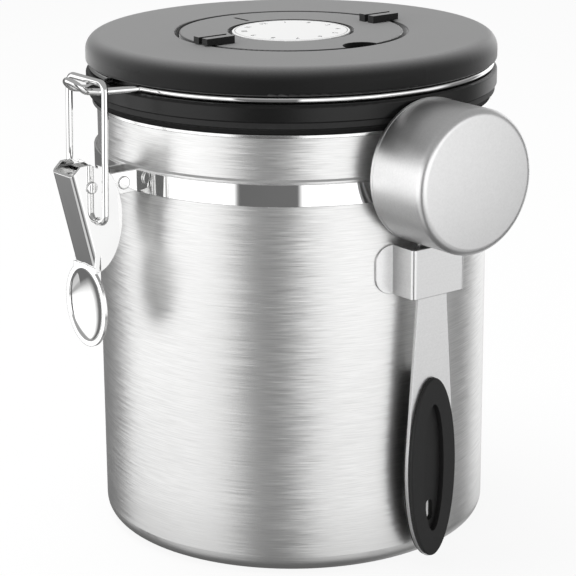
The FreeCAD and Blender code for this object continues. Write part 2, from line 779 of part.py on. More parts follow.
# lid bail: one wire that lies in the lid's groove, hooks in front and pins behind
def bail_wire():
    wire = number("wire_radius")
    centre = number("wire_seat")
    height = number("wire_height")
    stub = number("bail_stub")
    bend = number("bail_bend_radius")
    hook_bend = number("hook_bend_radius")
    half = number("hook_half_width")
    turn = 2 * math.asin(stub / centre) + math.asin(half / centre)
    leave = Vector(centre * math.sin(turn), -centre * math.cos(turn), height)
    tangent = Vector(-math.cos(turn), -math.sin(turn), 0)
    kink = leave + tangent * stub
    front = [
        (leave, 0),
        (kink, bend),
        (Vector(half, -number("hook_root_reach"), height - number("hook_root_drop")), hook_bend),
        (Vector(half, -number("hook_knee_reach"), height + number("hook_knee_rise")), hook_bend),
        (Vector(half, -number("hook_tip_reach"), height + number("hook_tip_rise")), ROUND_END_SHARE * half),
    ]
    middle = Vector(0, front[-1][0].y, front[-1][0].z)
    hinge = Vector(kink.x, number("hinge_reach"), number("hinge_height"))
    back = [
        (Vector(leave.x, -leave.y, height), 0),
        (Vector(kink.x, -kink.y, height), bend),
        (Vector(kink.x, number("bail_back_reach"), height), bend),
        (hinge, bend),
    ]
    pin_end = hinge - Vector(number("hinge_pin_length"), 0, 0)
    groove = Part.Arc(leave, Vector(centre, 0, height), back[0][0]).toShape()
    edges = bent_run(front, middle) + [groove] + bent_run(back, pin_end)
    path = Part.Wire(Part.__sortEdges__(edges))
    whole = Part.Wire(Part.__sortEdges__(path.Edges + path.mirror(Vector(0, 0, 0), Vector(1, 0, 0)).Edges))
    start = whole.OrderedVertexes[0].Point
    section = Part.Wire(Part.Circle(start, Vector(1, 0, 0), wire).toShape())
    bail = doc.addObject("Part::Feature", "bail_wire")
    bail.Label = "bail_wire"
    bail.Shape = whole.makePipeShell([section], True, True)
    return bail


def bent_run(stops, end):
    """Edges through the stops to the end, with an arc at each stop that has a radius."""
    points = [stop for stop, _ in stops] + [end]
    edges = []
    at = points[0]
    for index, (stop, radius) in enumerate(stops):
        if not radius:
            continue
        first, middle, last = corner_arc(points[index - 1], stop, points[index + 1], radius)
        edges.append(Part.LineSegment(at, first).toShape())
        edges.append(Part.Arc(first, middle, last).toShape())
        at = last
    edges.append(Part.LineSegment(at, end).toShape())
    return edges


# hinge behind the neck
def hinge_bracket():
    """A channel riveted to the band, with two ears that take the bail's turned-in ends."""
    body = new_body("hinge_bracket")
    side = sketch_on(body, "hinge_side", "YZ_Plane")
    inner = "sqrt(band_out ^ 2 - hinge_ear_half ^ 2)"
    outer = "(hinge_reach + hinge_ear_end)"
    top = "(hinge_height + hinge_ear_end)"
    outline(side, (
        (inner, "band_low"),
        ("hinge_face", "band_low"),
        (outer, "hinge_height - hinge_ear_end / 2", "hinge_ear_end"),
        (outer, top, f"{ROUND_END_SHARE} * hinge_ear_end"),
        ("hinge_reach - hinge_ear_end", top, f"{ROUND_END_SHARE} * hinge_ear_end"),
        ("hinge_face", "band_high"),
        (inner, "band_high"),
    ))
    pad(body, side, "2 * hinge_ear_half", middle=True)
    hollow = sketch_on(body, "hinge_hollow", "XY_Plane")
    gap = "(hinge_ear_half - hinge_sheet)"
    far = f"({outer} + cut_overrun)"
    outline(hollow, ((f"-{gap}", "hinge_face"), (gap, "hinge_face"), (gap, far), (f"-{gap}", far)))
    pocket(body, hollow)
    round_band = sketch_on(body, "hinge_round", "XY_Plane")
    circle(round_band, "0", "0", "band_out")
    pocket(body, round_band)
    pins = sketch_on(body, "hinge_pins", "YZ_Plane")
    circle(pins, "hinge_reach", "hinge_height", "wire_radius + hinge_bore_fit")
    pocket(body, pins, "2 * (hinge_ear_half + cut_overrun)", middle=True)
    rivets = sketch_on(body, "hinge_rivet_holes", "XZ_Plane")
    for side_x in ("hinge_rivet_spread", "-hinge_rivet_spread"):
        circle(rivets, side_x, "band_middle", "hinge_rivet_radius")
    pocket(body, rivets)
    return body


def hinge_rivets():
    """Two short rivets through the bracket and the band."""
    pair = []
    head = "hinge_face + hinge_rivet_head_height"
    for side in ("hinge_rivet_spread", "-hinge_rivet_spread"):
        rivet = turned(f"hinge_rivet_{len(pair)}", (
            ("0", "band_in"),
            ("hinge_rivet_radius", "band_in"),
            ("hinge_rivet_radius", "hinge_face"),
            ("hinge_rivet_head", "hinge_face"),
            ("hinge_rivet_head", head, f"{HEAD_EDGE_SHARE} * hinge_rivet_head_height"),
            ("0", head),
        ))
        put(rivet, x=side, z="band_middle", rotation=Z_TO_Y)
        pair.append(rivet)
    group = doc.addObject("Part::Compound", "hinge_rivets")
    group.Label = "hinge_rivets"
    group.Links = pair
    doc.recompute()
    return group


# lid
def lid_cap():
    """The upper moulding: a rounded plate with a skirt, and a well with a hub for the date ring."""
    skirt_in = "lid_radius - cap_skirt"
    well_out = "well_radius + well_wall"
    well_under = "well_low - well_floor"
    return turned("lid_cap", (
        ("hub_bore", well_under),
        (well_out, well_under),
        (well_out, "cap_under"),
        (skirt_in, "cap_under"),
        (skirt_in, "cap_low"),
        ("lid_radius", "cap_low", "cap_low_edge_radius"),
        ("lid_radius", "lid_top", "cap_edge_radius"),
        ("well_radius", "lid_top", "ring_edge_radius"),
        ("well_radius", "well_low"),
        ("hub_radius", "well_low"),
        ("hub_radius", "dial_low"),
        ("hub_bore", "dial_low"),
    ))


def lid_base():
    """The lower moulding: a pan whose wall carries the cap, with a flange over the gasket and a plug."""
    return turned("lid_base", (
        ("valve_radius + valve_fit", "plug_low"),
        ("plug_radius", "plug_low", "plug_edge_radius"),
        ("plug_radius", "flange_low"),
        ("lid_radius", "flange_low"),
        ("lid_radius", "flange_top", "flange_edge_radius"),
        ("groove_radius", "flange_top"),
        ("groove_radius", "cap_under"),
        ("groove_radius - base_wall", "cap_under"),
        ("groove_radius - base_wall", "flange_low + base_wall"),
        ("plug_radius - base_wall", "flange_low + base_wall"),
        ("plug_radius - base_wall", "plug_low + base_wall"),
        ("valve_radius + valve_fit", "plug_low + base_wall"),
    ))


def lid_gasket():
    """A soft ring under the flange with a bead that presses on the rim."""
    inner = "plug_radius + gasket_fit"
    outer = "lid_radius - gasket_inset"
    low = "flange_low - gasket_height"
    bead = "rim_height + seal_gap"
    middle = "(neck_radius + (rim_overhang - body_wall) / 2)"
    slope = f"{SEAL_SLOPE_SHARE} * seal_width"
    return turned("lid_gasket", (
        (inner, "flange_low"),
        (inner, low),
        (f"{middle} - seal_width / 2 - {slope}", low),
        (f"{middle} - seal_width / 2", bead),
        (f"{middle} + seal_width / 2", bead),
        (f"{middle} + seal_width / 2 + {slope}", low),
        (outer, low, "gasket_edge_radius"),
        (outer, "flange_low"),
    ))


def date_ring():
    """The turning ring: a bore on the hub, a lip under the dial, a finger notch, a mark and ribbed grips."""
    lip_top = "dial_low - lip_gap"
    body = turned("date_ring", (
        ("hub_radius + hub_fit", "ring_low"),
        ("ring_radius", "ring_low"),
        ("ring_radius", "lid_top", "ring_edge_radius"),
        ("ring_bore", "lid_top"),
        ("ring_bore", lip_top),
        ("hub_radius + hub_fit", lip_top),
    ))
    notch = sketch_on(body, "ring_notch", "XY_Plane", "lid_top")
    circle(notch, "ring_radius", "0", "notch_radius")
    pocket(body, notch, "notch_depth")
    line = sketch_on(body, "ring_mark", "XY_Plane", "lid_top")
    start = "-(ring_bore + mark_inset)"
    outline(line, (
        (start, "-mark_width / 2"),
        (start, "mark_width / 2"),
        (f"{start} - mark_length", "mark_width / 2"),
        (f"{start} - mark_length", "-mark_width / 2"),
    ))
    pocket(body, line, "mark_depth")
    tip = "-(ring_radius + grip_rib_overhang)"
    root = f"{tip} + grip_rib_length"
    for rib in range(2):
        left = f"(grip_rib_start + {rib} * grip_rib_pitch)"
        right = f"({left} + grip_rib_width)"
        stem = sketch_on(body, f"grip_stem_{rib}", "XY_Plane", "ring_low + ring_thickness / 2")
        inside = f"-sqrt((ring_radius - ring_seam) ^ 2 - {right} ^ 2)"
        outline(stem, ((left, inside), (right, inside), (right, root), (left, root)))
        mirrored(body, pad(body, stem, "ring_thickness / 2 + grip_rib_gap"), "XZ_Plane")
        bar = sketch_on(body, f"grip_bar_{rib}", "XY_Plane", "lid_top + grip_rib_gap")
        outline(bar, ((left, tip), (right, tip), (right, root), (left, root)))
        mirrored(body, pad(body, bar, "grip_rib_height - grip_rib_gap"), "XZ_Plane")
    return body


def dial_disc():
    edge = f"{DIAL_EDGE_SHARE} * dial_thickness"
    return turned("dial_disc", (
        ("0", "dial_low"),
        ("dial_radius", "dial_low"),
        ("dial_radius", "lid_top", edge),
        ("0", "lid_top"),
    ))


# one-way valve
def valve_body():
    """A flanged cup pressed up through the lid base, with a seat across it and vent holes in the seat."""
    hole = "stem_radius + stem_fit"
    ledge = "valve_bore - retainer_ledge"
    body = turned("valve_body", (
        (hole, "seat_low"),
        ("valve_bore", "seat_low"),
        ("valve_bore", "valve_low"),
        ("valve_flange_radius", "valve_low", f"{FLANGE_EDGE_SHARE} * valve_flange"),
        ("valve_flange_radius", "plug_low"),
        ("valve_radius", "plug_low"),
        ("valve_radius", "valve_top"),
        ("valve_bore", "valve_top"),
        ("valve_bore", "retainer_low"),
        (ledge, "retainer_low"),
        (ledge, "seat_top"),
        (hole, "seat_top"),
    ))
    holes = sketch_on(body, "seat_hole", "XY_Plane", "seat_top")
    circle(holes, "seat_hole_ring", "0", "seat_hole_radius")
    around(body, pocket(body, holes, "seat_thickness"), VALVE_HOLES)
    return body


def valve_diaphragm():
    """The soft flap that lifts off the seat, held by a stem with a bulb under the seat."""
    bulb = "seat_low - diaphragm_lift - diaphragm_gap"
    return turned("valve_diaphragm", (
        ("0", f"{bulb} - stem_bulb_height"),
        ("stem_bulb_radius", f"{bulb} - stem_bulb_height", f"{BULB_EDGE_SHARE} * stem_bulb_height"),
        ("stem_bulb_radius", bulb),
        ("stem_radius", bulb),
        ("stem_radius", "diaphragm_low"),
        ("diaphragm_radius", "diaphragm_low"),
        ("diaphragm_radius", "diaphragm_low + diaphragm_thickness"),
        ("stem_radius", "diaphragm_top"),
        ("0", "diaphragm_top"),
    ))


def pierced_disc(label, radius, low, thickness, hole_ring, hole_radius, count):
    """A disc with a ring of holes."""
    high = f"{low} + {thickness}"
    body = turned(label, (("0", low), (radius, low), (radius, high), ("0", high)))
    holes = sketch_on(body, f"{label}_hole", "XY_Plane", high)
    circle(holes, hole_ring, "0", hole_radius)
    around(body, pocket(body, holes, thickness), count)
    return body


def valve_retainer():
    return pierced_disc("valve_retainer", "retainer_radius", "retainer_low", "retainer_thickness",
                        "retainer_hole_ring", "retainer_hole_radius", VALVE_HOLES)


def filter_guard():
    return pierced_disc("filter_guard", "retainer_radius", "valve_low", "guard_thickness",
                        "guard_hole_ring", "guard_hole_radius", GUARD_HOLES)


def valve_filter():
    edge = f"{FILTER_EDGE_SHARE} * filter_thickness"
    return turned("valve_filter", (
        ("0", "filter_low"),
        ("retainer_radius", "filter_low", edge),
        ("retainer_radius", "filter_high", edge),
        ("0", "filter_high"),
    ))


# scoop and its holder
def scoop_holder():
    """A strip bent into a square loop, with rounded tabs that follow the can's side."""
    body = new_body("scoop_holder")
    tab_out = "(band_in + holder_sheet)"
    tabs = sketch_on(body, "holder_tabs", "YZ_Plane")
    tab_corners = (("-holder_tab_half", "holder_low"), ("holder_tab_half", "holder_low"),
                   ("holder_tab_half", "holder_high"), ("-holder_tab_half", "holder_high"))
    outline(tabs, [corner + ("holder_tab_radius",) for corner in tab_corners])
    pad(body, tabs, f"{tab_out} + cut_overrun")
    trim = sketch_on(body, "holder_trim", "XY_Plane")
    circle(trim, "0", "0", tab_out)
    circle(trim, "0", "0", f"2 * ({tab_out} + cut_overrun)")
    pocket(body, trim)
    core = sketch_on(body, "holder_core", "XY_Plane")
    circle(core, "0", "0", "band_in")
    pocket(body, core)
    loop = sketch_on(body, "holder_loop", "XY_Plane", "holder_low")
    inside = "(holder_half_width - holder_sheet)"
    root = f"sqrt((band_in + holder_sheet / 2) ^ 2 - {inside} ^ 2)"
    outline(loop, (
        (root, "-holder_half_width"),
        ("holder_reach", "-holder_half_width", "holder_bend_radius"),
        ("holder_reach", "holder_half_width", "holder_bend_radius"),
        (root, "holder_half_width"),
    ))
    pad(body, loop, "holder_height")
    slot = sketch_on(body, "holder_slot", "XY_Plane")
    front = "(holder_reach - holder_sheet)"
    bend = "holder_bend_radius - holder_sheet"
    outline(slot, (("0", f"-{inside}"), (front, f"-{inside}", bend), (front, inside, bend), ("0", inside)))
    pocket(body, slot)
    return body


def scoop_cup():
    """The measuring cup, lying with its mouth to the can and its base outwards."""
    inner = "cup_radius - cup_wall"
    cup = turned("scoop_cup", (
        (inner, "0"),
        ("cup_radius + cup_lip", "0"),
        ("cup_radius + cup_lip", "cup_lip_width"),
        ("cup_radius", "cup_lip_width"),
        ("cup_radius", "cup_depth", "cup_edge_radius"),
        ("0", "cup_depth"),
        ("0", "cup_depth - cup_wall"),
        (inner, "cup_depth - cup_wall", "cup_edge_radius - cup_wall"),
    ))
    put(cup, x="cup_reach", z="cup_middle", rotation=Z_TO_X)
    return cup


def scoop_handle():
    """A steel strip welded to the cup's wall that widens to an oval end under the grip."""
    body = new_body("scoop_handle")
    end = sketch_on(body, "handle_end", "YZ_Plane", "handle_reach")
    ellipse(end, "0", "grip_middle", "handle_half_width", "handle_half_length")
    pad(body, end, "handle_sheet")
    up_share, out_share = HANDLE_TAPER_SHARES
    right = [
        (f"{out_share} * handle_half_width", f"grip_middle + {up_share} * handle_half_length"),
        ("handle_neck_half", "handle_neck_low", "grip_half_length"),
        ("handle_neck_half", "cup_middle - cup_radius / 2"),
    ]
    left = [(f"-({corner[0]})",) + tuple(corner[1:]) for corner in reversed(right)]
    strip = sketch_on(body, "handle_strip", "YZ_Plane", "handle_reach")
    outline(strip, right + left)
    pad(body, strip, "handle_sheet")
    seat = sketch_on(body, "handle_seat", "YZ_Plane")
    circle(seat, "0", "cup_middle", "cup_radius")
    pocket(body, seat)
    window = sketch_on(body, "handle_window", "YZ_Plane")
    ellipse(window, "0", "grip_middle", "window_half_width", "window_half_length")
    pocket(body, window)
    return body


def scoop_grip():
    """A soft grip moulded round the handle: a pad on each face, joined through the window, and a recess."""
    body = new_body("scoop_grip")
    back = sketch_on(body, "grip_back_pad", "YZ_Plane", "handle_reach - grip_back")
    ellipse(back, "0", "grip_middle", "grip_half_width", "grip_half_length")
    pad(body, back, "grip_back")
    bridge = sketch_on(body, "grip_bridge", "YZ_Plane", "handle_reach")
    ellipse(bridge, "0", "grip_middle", "window_half_width", "window_half_length")
    pad(body, bridge, "handle_sheet")
    front = sketch_on(body, "grip_front_pad", "YZ_Plane", "handle_front")
    ellipse(front, "0", "grip_middle", "grip_half_width", "grip_half_length")
    face = pad(body, front, "grip_front")
    reach = number("grip_face")
    fillet(body, face, "grip_edge_radius",
           lambda edge: all(abs(vertex.X - reach) < SAME_PLACE for vertex in edge.Vertexes))
    recess = sketch_on(body, "grip_recess", "YZ_Plane", "grip_face")
    ellipse(recess, "0", "grip_middle", "recess_half_width", "recess_half_length")
    pocket(body, recess, "recess_depth")
    slot = sketch_on(body, "grip_slot", "YZ_Plane")
    high = "slot_low + slot_length"
    edge = f"{ROUND_END_SHARE} * slot_half_width"
    outline(slot, (
        ("-slot_half_width", "slot_low", edge),
        ("slot_half_width", "slot_low", edge),
        ("slot_half_width", high, edge),
        ("-slot_half_width", high, edge),
    ))
    pocket(body, slot)
    return body


def build():
    """Every sub-part, in the order of assembly."""
    return [
        canister_body(),
        neck_band(),
        band_rivet(),
        hinge_bracket(),
        hinge_rivets(),
        scoop_holder(),
        lever_pin(),
        clasp_lever(),
        clasp_link(),
        bail_wire(),
        lid_base(),
        lid_gasket(),
        lid_cap(),
        date_ring(),
        dial_disc(),
        valve_body(),
        valve_diaphragm(),
        valve_retainer(),
        valve_filter(),
        filter_guard(),
        scoop_cup(),
        scoop_handle(),
        scoop_grip(),
    ]


def check_and_write(parts):
    """Stops at any failed object or empty shape, then writes one file for each sub-part."""
    doc.recompute()
    for item in doc.Objects:
        if "Invalid" in item.State or "Error" in item.State:
            raise ValueError(f"{item.Label} is {item.State}")
    failed = [part.Label for part in parts
              if part.Shape.isNull() or not part.Shape.isValid() or not part.Shape.Solids]
    if failed:
        raise ValueError(f"no valid solid: {failed}")
    os.makedirs("parts", exist_ok=True)
    for part in parts:
        part.Shape.exportStep(f"parts/{part.Label}.step")
        box = part.Shape.BoundBox
        print(f"{part.Label}: {len(part.Shape.Solids)} solid, {part.Shape.Volume:.1f} mm3,"
              f" z {box.ZMin:.1f} to {box.ZMax:.1f}")


check_and_write(build())
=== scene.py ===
# %% [markdown]
# A coffee canister: a brushed steel can, a lid that clamps down on a rubber ring, a one-way valve
# under a date dial, and a steel scoop that hangs in a holder on the side. Every main shape comes from
# the imported CAD model, so this lesson is about dressing a finished frame: light, finishes, and the
# small printed marks that a CAD model leaves out. We load the frame first.

# %% Load the frame
import json
import math

import bmesh
import bpy
from mathutils import Matrix, Vector

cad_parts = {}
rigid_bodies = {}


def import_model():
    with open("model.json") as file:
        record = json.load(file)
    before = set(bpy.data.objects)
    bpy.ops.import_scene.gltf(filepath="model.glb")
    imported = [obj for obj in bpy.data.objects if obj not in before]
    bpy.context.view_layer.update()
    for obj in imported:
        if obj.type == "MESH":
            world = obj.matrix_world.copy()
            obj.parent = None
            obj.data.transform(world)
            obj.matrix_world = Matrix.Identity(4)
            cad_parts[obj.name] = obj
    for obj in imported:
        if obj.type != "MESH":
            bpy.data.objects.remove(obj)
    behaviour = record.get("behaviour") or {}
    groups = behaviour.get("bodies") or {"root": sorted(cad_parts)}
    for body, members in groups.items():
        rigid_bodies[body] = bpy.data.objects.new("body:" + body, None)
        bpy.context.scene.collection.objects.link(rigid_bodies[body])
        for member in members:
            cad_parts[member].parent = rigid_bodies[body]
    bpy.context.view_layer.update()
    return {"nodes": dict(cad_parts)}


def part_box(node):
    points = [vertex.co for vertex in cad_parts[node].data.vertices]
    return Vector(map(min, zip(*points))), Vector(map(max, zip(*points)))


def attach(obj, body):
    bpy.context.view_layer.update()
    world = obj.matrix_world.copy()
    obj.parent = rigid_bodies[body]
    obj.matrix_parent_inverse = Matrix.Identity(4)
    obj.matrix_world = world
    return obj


for leftover in list(bpy.data.objects):
    bpy.data.objects.remove(leftover)
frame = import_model()

# %% [markdown]
# A finish on metal or plastic is mostly arithmetic on positions: how far along the brush stroke, how
# deep the grain. Written node by node that is hard to read, so one small class wraps a socket and lets
# Python's own signs add the Math nodes.

# %% Sums on sockets
class Signal:
    """One output of a node, which can be used in sums like a number."""

    def __init__(self, finish, socket):
        self.finish = finish
        self.socket = socket

    def __add__(self, other):
        return self.finish.maths("ADD", self, other)

    def __sub__(self, other):
        return self.finish.maths("SUBTRACT", self, other)

    def __rsub__(self, other):
        return self.finish.maths("SUBTRACT", other, self)

    def __mul__(self, other):
        return self.finish.maths("MULTIPLY", self, other)

    def __truediv__(self, other):
        return self.finish.maths("DIVIDE", self, other)

    def __pow__(self, other):
        return self.finish.maths("POWER", self, other)

    def __gt__(self, other):
        return self.finish.maths("GREATER_THAN", self, other)

    def __lt__(self, other):
        return self.finish.maths("LESS_THAN", self, other)

    def __abs__(self):
        return self.finish.maths("ABSOLUTE", self)

    __radd__ = __add__
    __rmul__ = __mul__


print("signals add, multiply and compare like numbers")

# %% [markdown]
# Every node comes from one method, node(). It takes the node's type, its settings, which are set first,
# and what its sockets get: a number, a tuple or another node's signal. Math and Vector Math nodes are so
# common that they have short forms of their own.

# %% Any node from one method
class Finish:
    """A node tree with one method that makes any node."""

    def __init__(self, tree):
        self.tree = tree
        tree.nodes.clear()

    def feed(self, socket, value):
        if isinstance(value, Signal):
            self.tree.links.new(value.socket, socket)
        else:
            socket.default_value = value

    def node(self, kind, settings=None, sockets=None, out=0):
        made = self.tree.nodes.new(kind)
        for name, value in (settings or {}).items():
            if name == "stops":
                self.stops(made.color_ramp, value)
            else:
                setattr(made, name, value)
        for name, value in (sockets or {}).items():
            self.feed(made.inputs[name], value)
        return Signal(self, made.outputs[out]) if len(made.outputs) else None

    def stops(self, ramp, stops):
        while len(ramp.elements) < len(stops):
            ramp.elements.new(1.0)
        for element, (place, shade) in zip(ramp.elements, stops):
            element.position = place
            element.color = (shade, shade, shade, 1.0)

    def maths(self, operation, *values):
        return self.node("ShaderNodeMath", {"operation": operation}, dict(enumerate(values)))

    def vectors(self, operation, *values, out="Vector"):
        return self.node("ShaderNodeVectorMath", {"operation": operation}, dict(enumerate(values)), out)


print("node trees are ready to be written as sums")

# %% [markdown]
# The camera stands where the picture was taken from. Its place was found by fitting known sizes of the
# frame, such as the rim, the band and the base, to the picture, so we write down the eye, the tilt and
# a small roll. It looks at the can from between the clasp and the scoop, with a long lens.

# %% Camera
CAMERA_AZIMUTH = math.radians(52.5)
CAMERA_TILT = math.radians(16.531)
CAMERA_ROLL = math.radians(-0.395)
CAMERA_EYE = Vector((0.52870, -0.40757, 0.26941))
LENS_MM = 138.337
SENSOR_MM = 36.0

turn_to_front = Matrix.Rotation(CAMERA_AZIMUTH, 3, "Z")
ahead = turn_to_front @ Vector((0, math.cos(CAMERA_TILT), -math.sin(CAMERA_TILT)))
level_right = turn_to_front @ Vector((1, 0, 0))
level_up = level_right.cross(ahead)
to_camera = turn_to_front @ Vector((0, -1, 0))
right = math.cos(CAMERA_ROLL) * level_right + math.sin(CAMERA_ROLL) * level_up
up = right.cross(ahead)
pose = Matrix((right, up, -ahead)).transposed().to_4x4()
pose.translation = CAMERA_EYE

lens = bpy.data.cameras.new("camera")
lens.sensor_width = SENSOR_MM
lens.lens = LENS_MM
camera = bpy.data.objects.new("camera", lens)
camera.matrix_world = pose
bpy.context.scene.collection.objects.link(camera)
bpy.context.scene.camera = camera
bpy.context.scene.view_settings.view_transform = "Standard"
print("camera at", [round(v, 3) for v in CAMERA_EYE])

# %% [markdown]
# Polished and brushed steel have almost no colour of their own: they show the room. A studio for metal
# has wide white screens with dark gaps between them. We draw them in the world by compass direction,
# counted from the camera's side, and let them fade upwards and towards the floor. Angles are in degrees.
# A height is the upright part of the line of sight, from -1 to 1.

# %% The compass and the heights of the room
world = bpy.data.worlds.new("studio")
world.use_nodes = True
bpy.context.scene.world = world
room = Finish(world.node_tree)
view_line = room.node("ShaderNodeTexCoord", out="Generated")
sideways = room.vectors("DOT_PRODUCT", view_line, level_right, out="Value")
forwards = room.vectors("DOT_PRODUCT", view_line, to_camera, out="Value")
compass = room.maths("ARCTAN2", sideways, forwards) / (2 * math.pi) + 0.5
height = room.node("ShaderNodeSeparateXYZ", None, {"Vector": view_line}, "Z")


def on_compass(angle):
    """An angle from -180 to 180 as a place on a ramp."""
    return angle / 360 + 0.5


def on_height(z):
    """A height from -1 to 1 as a place on a ramp."""
    return z / 2 + 0.5


def ramp(place, stops):
    return room.node("ShaderNodeValToRGB", {"stops": stops}, {"Fac": place})


print("the compass starts behind the can and turns by way of the camera")

# %% [markdown]
# The screens' shades were found by comparing the band and the wall with the picture. Their edges are
# crisp beside the dark gap in front and softer round the sides. A weaker light lies low, for the bend at
# the can's foot, but not on the clasp's side, where the lever should stay grey. A faint even ceiling
# keeps what faces up from going black.

# %% The screens that the metal shows
GAP = 0.16
SCREENS = (
    (-180, 0.16), (-124, 0.16), (-112, 1.0), (-33.5, 1.0), (-30.5, 0.15), (3, 0.16), (6, 1.0), (58, 1.0),
    (72, 0.72), (90, 0.70), (100, 0.20), (124, 0.20), (136, 0.90), (160, 0.90), (172, 0.16), (180, 0.16),
)
SCREEN_HEIGHTS = (
    (-1.0, 0.0), (-0.50, 0.0), (-0.44, 0.34), (-0.40, 0.80), (-0.36, 1.16), (-0.32, 1.34), (-0.20, 1.52),
    (0.22, 1.52), (0.44, 0.0), (1.0, 0.0),
)
FOOT_HEIGHTS = ((-1.0, 0.0), (-0.90, 0.0), (-0.76, 0.56), (-0.54, 0.60), (-0.44, 0.0), (1.0, 0.0))
FOOT_FROM = -90
CEILING = 0.22
CEILING_FROM = 0.12
CEILING_FULL = 0.30

screens = ramp(compass, [(on_compass(angle), shade) for angle, shade in SCREENS])
in_screen = ramp(on_height(height), [(on_height(z), shade) for z, shade in SCREEN_HEIGHTS])
at_foot = ramp(on_height(height), [(on_height(z), shade) for z, shade in FOOT_HEIGHTS])
foot_part = at_foot * (compass > on_compass(FOOT_FROM))
ceiling_part = room.node(
    "ShaderNodeMapRange", None,
    {"Value": height, "From Min": CEILING_FROM, "From Max": CEILING_FULL, "To Max": CEILING},
)
walls = GAP + (screens - GAP) * (in_screen + foot_part) + ceiling_part
print("room drawn with", len(SCREENS), "shades round the compass")

# %% [markdown]
# Only mirror-like rays see the screens. The camera sees plain white behind the can, and matte surfaces
# get an even grey, because stripes of light would spoil the plain plastic of the lid.

# %% Who sees what
EVEN_GREY = 0.42
seen = room.node("ShaderNodeLightPath", out="Is Camera Ray")
mirrored = room.node("ShaderNodeLightPath", out="Is Glossy Ray")
soft_light = EVEN_GREY + (walls - EVEN_GREY) * mirrored
backdrop = soft_light + (1 - soft_light) * seen
sky = room.node("ShaderNodeBackground", None, {"Color": backdrop})
room.node("ShaderNodeOutputWorld", None, {"Surface": sky})
print("the camera sees white, metal sees the screens")

# %% [markdown]
# One wide lamp overhead lights the lid and lays a soft shadow. It is hidden from mirror-like rays, so
# that the can shows only the screens.

# %% Lamp
LAMP_AIM = Vector((0, 0, 0.1))
LAMP_OFFSET = Vector((-0.25, -0.15, 0.95))
LAMP_SIDE = 0.8
LAMP_WATTS = 9.0

lamp_place = LAMP_AIM + LAMP_OFFSET
lamp = bpy.data.lights.new("overhead", "AREA")
lamp.shape = "RECTANGLE"
lamp.size = LAMP_SIDE
lamp.size_y = LAMP_SIDE
lamp.energy = LAMP_WATTS
overhead = bpy.data.objects.new("overhead", lamp)
aim = (LAMP_AIM - lamp_place).to_track_quat("-Z", "Y")
overhead.matrix_world = Matrix.Translation(lamp_place) @ aim.to_matrix().to_4x4()
overhead.visible_camera = False
overhead.visible_glossy = False
bpy.context.scene.collection.objects.link(overhead)
print("one lamp of", LAMP_WATTS, "watts overhead")

# %% [markdown]
# The floor is a pale matt disc, hidden from the metal as the lamp is. A lit table in a picture is nearly
# white, so for the camera most of the floor glows, and the rest is plain matt and takes the shadow.

# %% Floor
FLOOR_RADIUS = 3.0
FLOOR_SIDES = 96
FLOOR_COLOUR = (0.96, 0.96, 0.96, 1)
FLOOR_GLOW_SHARE = 0.90

floor_mesh = bpy.data.meshes.new("floor")
shape = bmesh.new()
bmesh.ops.create_circle(shape, cap_ends=True, segments=FLOOR_SIDES, radius=FLOOR_RADIUS)
shape.to_mesh(floor_mesh)
shape.free()
floor = bpy.data.objects.new("floor", floor_mesh)
bpy.context.scene.collection.objects.link(floor)
floor.visible_glossy = False

floor_look = bpy.data.materials.new("pale_floor")
floor_look.use_nodes = True
ground = Finish(floor_look.node_tree)
matt = ground.node("ShaderNodeBsdfDiffuse", None, {"Color": FLOOR_COLOUR})
glow = ground.node("ShaderNodeEmission", None, {"Color": (1, 1, 1, 1), "Strength": 1.0})
for_camera = ground.node("ShaderNodeLightPath", out="Is Camera Ray")
lit = ground.node("ShaderNodeMixShader", None, {"Fac": for_camera * FLOOR_GLOW_SHARE, 1: matt, 2: glow})
ground.node("ShaderNodeOutputMaterial", None, {"Surface": lit})
floor_mesh.materials.append(floor_look)
print("a pale floor,", 2 * FLOOR_RADIUS, "metres across")

# %% [markdown]
# Every finish below starts the same way: a Principled shader, the position of the point on the piece,
# and noise that is stretched to suit the process. Stretching is the whole trick of brushed metal. Noise
# that changes quickly up the can and slowly along its wall reads as strokes that run round it.

# %% Starting a finish
EDGE_SAMPLES = 6


